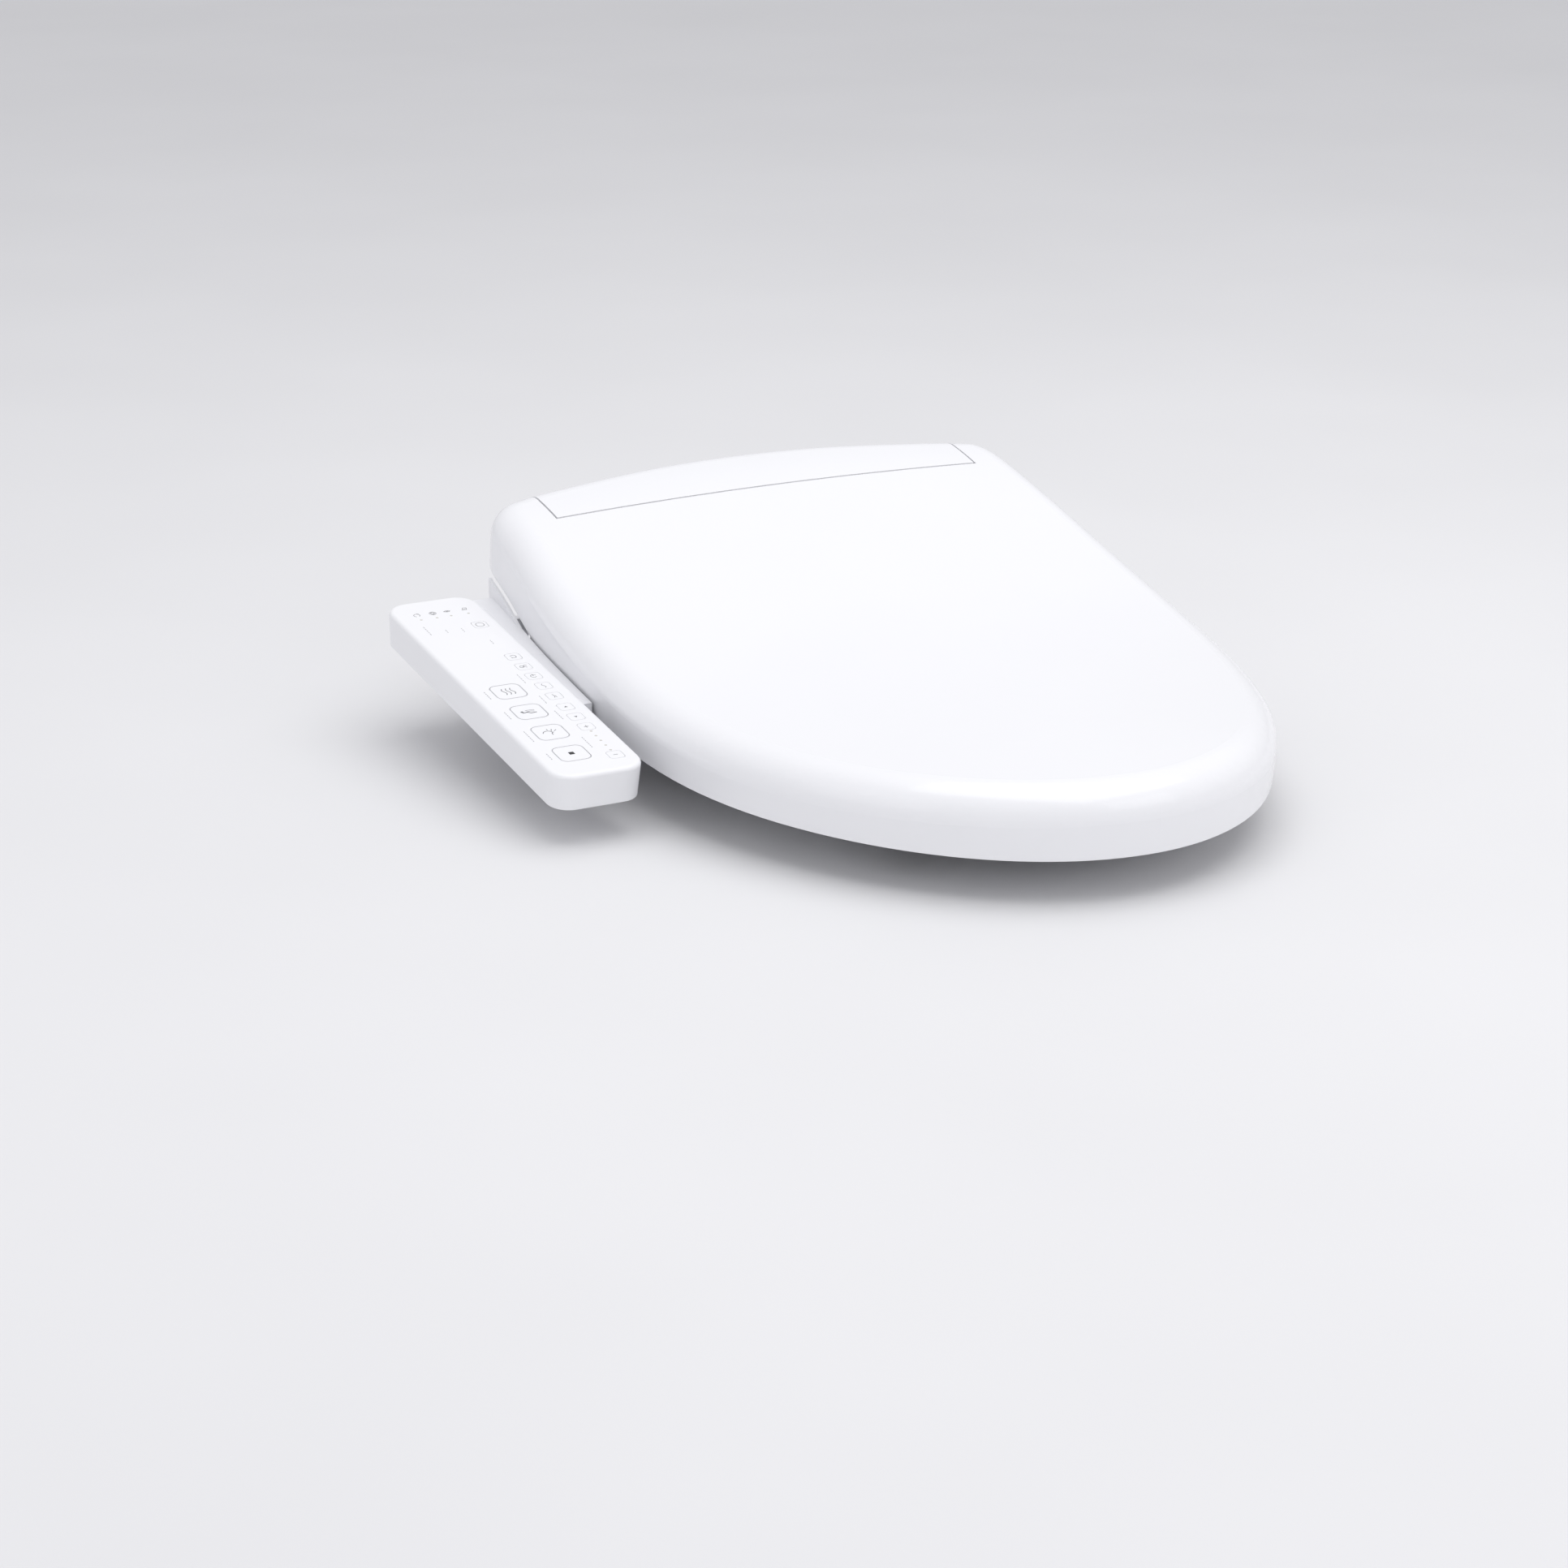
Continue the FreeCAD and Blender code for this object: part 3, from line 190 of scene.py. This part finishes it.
for part in frame["record"]["subparts"]:
    node = frame["nodes"][part["node"]]
    material = SLOT_MATERIALS[part["material_slot"]]
    for holder in node.material_slots:
        holder.link = "OBJECT"
        holder.material = material

# ---- prints on the control panel ----------------------------------------------
SLOPE = math.radians(8.1)
ALONG = Vector((0.0, math.cos(SLOPE), math.sin(SLOPE)))   # towards the panel's rear
OUTWARD = Vector((0.0, -math.sin(SLOPE), math.cos(SLOPE)))
FLANGE = 0.8       # key flange beyond the key's face, mm
KEY_HEIGHT = 3.4   # mm, from the key's foot to its face
FLANGE_TOP = 2.4   # mm, from the key's foot to the top of its flange
PRINT_UP = 0.035   # ink stands this far off the surface, mm
PRINT_IN = 0.03    # and is let in this far, mm


def key_face(node):
    """Centre of a key's top face in metres, and the face's side in mm."""
    low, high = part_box(node)
    side = (high[0] - low[0]) / MM - 2 * FLANGE
    x = (low[0] + high[0]) / 2
    y = (low[1] + high[1]) / 2 - (KEY_HEIGHT + FLANGE_TOP) / 2 * math.sin(SLOPE) * MM
    z = high[2] - side / 2 * math.sin(SLOPE) * MM
    return Vector((x, y, z)), side


def ribbon_parts(points, closed, width):
    """Left and right edge of a stroke, with mitred corners."""
    count = len(points)
    left, right = [], []
    limit = 0.5   # shortest mitre, so that sharp corners don't shoot out
    for i, (x, y) in enumerate(points):
        before = points[i - 1] if (closed or i) else points[i]
        after = points[(i + 1) % count] if (closed or i < count - 1) else points[i]
        first = Vector((x - before[0], y - before[1]))
        second = Vector((after[0] - x, after[1] - y))
        first = first.normalized() if first.length else second.normalized()
        second = second.normalized() if second.length else first
        middle = (first + second).normalized()
        normal = Vector((-middle.y, middle.x))
        reach = width / 2 / max(limit, normal.dot(Vector((-first.y, first.x))))
        left.append((x + normal.x * reach, y + normal.y * reach))
        right.append((x - normal.x * reach, y - normal.y * reach))
    return left, right


def print_piece(name, centre, strokes, body, ink, fills=()):
    """Raised ink on the panel: strokes are (points, closed, width) in mm, fills are closed outlines."""
    verts, faces = [], []

    def put(x, y, h):
        verts.append(centre + (Vector((x, 0, 0)) + ALONG * y + OUTWARD * h) * MM)
        return len(verts) - 1

    for points, closed, width in strokes:
        left, right = ribbon_parts(points, closed, width)
        rows = [[put(*l, PRINT_UP), put(*r, PRINT_UP), put(*r, -PRINT_IN), put(*l, -PRINT_IN)]
                for l, r in zip(left, right)]
        steps = list(zip(rows, rows[1:] + rows[:1])) if closed else list(zip(rows, rows[1:]))
        for a, b in steps:
            for i in range(4):
                j = (i + 1) % 4
                faces.append((a[i], a[j], b[j], b[i]))
        if not closed:
            faces.append(tuple(reversed(rows[0])))
            faces.append(tuple(rows[-1]))
    for outline in fills:
        top = [put(x, y, PRINT_UP) for x, y in outline]
        low = [put(x, y, -PRINT_IN) for x, y in outline]
        faces.append(tuple(top))
        faces.append(tuple(reversed(low)))
        for i in range(len(top)):
            j = (i + 1) % len(top)
            faces.append((top[i], low[i], low[j], top[j]))
    mesh = bpy.data.meshes.new(name)
    mesh.from_pydata(verts, [], faces)
    mesh.update()
    piece = bpy.data.objects.new(name, mesh)
    bpy.context.scene.collection.objects.link(piece)
    mesh.materials.append(ink)
    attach(piece, body)
    return piece


def rounded_square(half, r, steps=5):
    points = []
    for quarter, (cx, cy) in enumerate(((1, 1), (-1, 1), (-1, -1), (1, -1))):
        for i in range(steps + 1):
            angle = math.radians(90 * quarter + 90 * i / steps)
            points.append((cx * (half - r) + r * math.cos(angle), cy * (half - r) + r * math.sin(angle)))
    return points


def circle(x, y, r, steps=14):
    turns = [2 * math.pi * i / steps for i in range(steps)]
    return [(x + r * math.cos(turn), y + r * math.sin(turn)) for turn in turns]


def arc(x, y, r, start, end, steps=8):
    turns = [math.radians(start + (end - start) * i / steps) for i in range(steps + 1)]
    return [(x + r * math.cos(turn), y + r * math.sin(turn)) for turn in turns]


def wave(x, length, height, turn, steps=10):
    return [(x + height * math.sin(turn * math.pi * i / steps), -length / 2 + length * i / steps)
            for i in range(steps + 1)]


# widths of the printed strokes, mm
FINE = 0.34
LINE = 0.42
BOLD = 0.5
RING_INSET = 0.22
RING_CORNER = 4.2
RING_WIDTH = 0.36

BIG_ICONS = {
    "dryer": ([(wave(x, 8.4, 0.8, 2.0), False, BOLD) for x in (-2.7, 0.0, 2.7)], []),
    "front_wash": ([([(-4.4, -0.8), (-1.0, -0.5), (0.5, -2.1), (4.2, -1.7)], False, BOLD + 0.3),
                    (arc(0.4, -5.4, 5.8, 60, 112), False, LINE), (arc(0.4, -5.4, 7.4, 62, 108), False, LINE)],
                   [circle(-4.2, 0.6, 0.9)]),
    "rear_wash": ([(arc(-1.6, -1.1, 3.0, 10, 170), False, BOLD), (arc(2.5, -2.5, 2.1, 100, 210), False, BOLD),
                   ([(1.3, 1.2), (2.3, 3.6)], False, LINE), ([(2.9, 0.7), (4.8, 2.3)], False, LINE),
                   ([(-0.5, 2.6), (-0.4, 4.4)], False, LINE)], []),
    "stop": ([], [[(-1.6, -1.6), (1.6, -1.6), (1.6, 1.6), (-1.6, 1.6)]]),
}
SMALL_ICONS = {
    "pressure_down": ([([(-1.4, 0.0), (1.4, 0.0)], False, LINE)], []),
    "pressure_up": ([([(-1.4, 0.0), (1.4, 0.0)], False, LINE), ([(0.0, -1.4), (0.0, 1.4)], False, LINE)], []),
    "position_back": ([], [[(-1.1, 0.7), (1.1, 0.7), (0.0, -1.0)]]),
    "position_forward": ([], [[(-1.1, -0.7), (0.0, 1.0), (1.1, -0.7)]]),
    "pulsating": ([(wave(-0.6, 4.6, 0.6, 1.0), False, FINE), ([(0.9, -2.0), (0.6, 0.2)], False, FINE)], []),
    "oscillating": ([(wave(0.0, 5.4, 0.8, 2.0), False, FINE)], []),
    "air_heat": ([(arc(0.0, 0.0, 1.9, 20, 320), False, FINE), ([(0.0, 0.0), (0.0, 2.6)], False, FINE)], []),
    "water_heat": ([(arc(s * 1.1, 0.0, 1.3, 90 - s * 60, 270 - s * 60), False, LINE) for s in (-1, 1)]
                   + [([(-1.8, 1.8), (1.8, -1.8)], False, FINE)], []),
    "seat_heat": ([(arc(0.0, 0.2, 1.8, 200, 520), False, FINE),
                   ([(-1.6, -1.4), (1.6, -1.4)], False, FINE)], []),
    "power": ([(rounded_square(2.5, 2.0), True, FINE)], []),
}

for key, (strokes, fills) in BIG_ICONS.items():
    centre, side = key_face(key + "_button")
    ring = (rounded_square(side / 2 - RING_INSET, RING_CORNER), True, RING_WIDTH)
    print_piece("print_ring_" + key, centre, [ring], key + "_key", INK_PALE)
    print_piece("print_icon_" + key, centre, strokes, key + "_key",
                INK_DARK if key == "stop" else INK, fills)

for key, (strokes, fills) in SMALL_ICONS.items():
    centre, side = key_face(key + "_button")
    print_piece("print_icon_" + key, centre, strokes, key + "_key", INK, fills)

stop_centre, _ = key_face("stop_button")
STOP_U, STOP_V = 36.0, 28.0   # the stop key's place on the panel, mm


def on_panel(u, v):
    """Point on the panel's face: u from its inner side, v from its front end, mm."""
    return stop_centre + (Vector((STOP_U - u, 0, 0)) + ALONG * (v - STOP_V)) * MM


REAR_ROW = {
    "saver": [(arc(0, 0, 2.0, -60, 250), False, FINE), ([(0.6, 2.6), (1.9, 1.6)], False, FINE)],
    "seat": [(circle(0, 0, 2.1), True, FINE), (circle(0, 0.2, 1.1), True, LINE),
             ([(-1.4, -1.6), (1.4, -1.6)], False, FINE)],
    "clean": [([(-2.0, 0.0), (-0.7, 0.9), (0.7, 0.9), (2.0, 0.0), (0.7, -0.9), (-0.7, -0.9)],
               True, LINE),
              ([(-0.8, 0.0), (0.8, 0.0)], False, LINE + 0.2)],
    "air": [([(-1.8, -1.4), (-0.4, 1.6), (1.8, 1.2), (1.0, -1.6)], True, FINE),
            ([(-0.8, -0.6), (1.0, 0.2)], False, FINE)],
}
REAR_ROW_U = (44.0, 33.6, 24.2, 12.7)
REAR_ROW_V = 236.0
for (name, strokes), u in zip(REAR_ROW.items(), REAR_ROW_U):
    print_piece("print_rear_" + name, on_panel(u, REAR_ROW_V), strokes, "unit", INK)


DASH_GAP = 0.7


def dashes(name, u, v, pieces, ink=INK_PALE, width=0.55):
    """A line of short marks along the panel, in place of small print."""
    strokes = []
    y = 0.0
    for length in pieces:
        strokes.append(([(0.0, y), (0.0, y + length)], False, width))
        y += length + DASH_GAP
    print_piece(name, on_panel(u, v), strokes, "unit", ink)


dashes("print_mark_stop", 50.0, 24.0, (1.4, 1.6, 1.5, 1.4))
dashes("print_mark_rear", 50.0, 49.0, (1.5, 1.3, 1.6, 1.4, 1.5, 1.2, 1.6))
dashes("print_mark_front", 50.0, 81.0, (1.5, 1.3, 1.6, 1.4, 1.3))
dashes("print_mark_dryer", 50.0, 110.0, (1.6, 1.4, 1.5, 1.4, 1.5))
dashes("print_mark_pressure", 21.5, 31.0, (1.5, 1.4, 1.6, 1.3, 1.5, 1.4, 1.5))
dashes("print_mark_position", 21.5, 71.0, (1.5, 1.4, 1.6, 1.3, 1.5, 1.4))
dashes("print_mark_move", 21.5, 94.0, (2.6, 1.6, 2.8, 1.8), INK_PALE, 0.4)
dashes("print_mark_heat", 21.5, 124.0, (2.2, 1.6, 2.4, 1.8, 2.2), INK_PALE, 0.4)
dashes("print_mark_row_a", 47.0, 206.0, (2.4, 1.6, 2.2, 1.8, 2.0), INK_PALE, 0.45)
dashes("print_mark_row_b", 36.0, 206.0, (1.6, 2.0), INK_PALE, 0.45)
dashes("print_mark_row_c", 26.0, 204.0, (1.2, 1.8, 1.2), INK_PALE, 0.45)
dashes("print_mark_row_d", 16.5, 182.0, (1.8, 1.4, 1.2), INK_PALE, 0.45)

# ---- stage, light and camera ----------------------------------------------------
FLOOR_Z = -0.018   # just under the tip of the extended wand
FLOOR_REACH = 40.0


def make_floor():
    cells = 16
    cell = 2 * FLOOR_REACH / cells
    verts = []
    faces = []
    for i in range(cells + 1):
        for j in range(cells + 1):
            verts.append((-FLOOR_REACH + cell * i, -FLOOR_REACH + cell * j, FLOOR_Z))
    for i in range(cells):
        for j in range(cells):
            a = i * (cells + 1) + j
            faces.append((a, a + cells + 1, a + cells + 2, a + 1))
    mesh = bpy.data.meshes.new("floor")
    mesh.from_pydata(verts, [], faces)
    floor = bpy.data.objects.new("floor", mesh)
    bpy.context.scene.collection.objects.link(floor)
    mat, tree, shader = new_material("floor_pale")
    vary(tree, object_noise(tree, 3.0), (0.76, 0.76, 0.77), (0.78, 0.78, 0.79), shader.inputs["Base Color"])
    shader.inputs["Roughness"].default_value = 0.9
    mesh.materials.append(mat)


def area_light(name, location, target, size, power, color=(1, 1, 1)):
    data = bpy.data.lights.new(name, "AREA")
    data.shape = "RECTANGLE"
    data.size, data.size_y = size
    data.energy = power
    data.color = color
    lamp = bpy.data.objects.new(name, data)
    lamp.location = location
    aim = Vector(target) - Vector(location)
    lamp.rotation_euler = aim.to_track_quat("-Z", "Y").to_euler()
    bpy.context.scene.collection.objects.link(lamp)


make_floor()
MIDDLE = (0.0, -0.2, 0.05)
area_light("top_light", (0.2, -0.5, 1.9), (0.0, -0.2, 0.0), (2.2, 2.2), 20.8)
area_light("front_light", (0.9, -2.4, 1.3), MIDDLE, (1.6, 1.2), 4.5, (1.0, 0.99, 1.0))
area_light("left_light", (-2.2, -0.6, 1.0), MIDDLE, (1.4, 1.4), 2.0, (0.96, 0.97, 1.0))

world = bpy.data.worlds.new("studio")
bpy.context.scene.world = world
world.use_nodes = True
background = world.node_tree.nodes["Background"]
background.inputs["Color"].default_value = (0.97, 0.97, 1.0, 1.0)
background.inputs["Strength"].default_value = 0.73

CAMERA_AT = Vector((-1.1179, -2.1426, 0.7321))
CAMERA_TURN = math.radians(27.83)
CAMERA_DOWN = math.radians(18.83)
SENSOR_MM = 36.0
FOCAL_MM = 4806.7 / 1932.0 * SENSOR_MM


def make_camera():
    data = bpy.data.cameras.new("photo_camera")
    data.sensor_width = SENSOR_MM
    data.lens = FOCAL_MM
    data.clip_end = 50.0
    camera = bpy.data.objects.new("photo_camera", data)
    cp, sp = math.cos(CAMERA_TURN), math.sin(CAMERA_TURN)
    ce, se = math.cos(CAMERA_DOWN), math.sin(CAMERA_DOWN)
    right = Vector((cp, -sp, 0))
    up = Vector((se * sp, se * cp, ce))
    back = Vector((-sp * ce, -cp * ce, se))
    turn = Matrix((right, up, back)).transposed()
    camera.matrix_world = Matrix.Translation(CAMERA_AT) @ turn.to_4x4()
    bpy.context.scene.collection.objects.link(camera)
    bpy.context.scene.camera = camera


make_camera()
bpy.context.scene.view_settings.view_transform = "Standard"
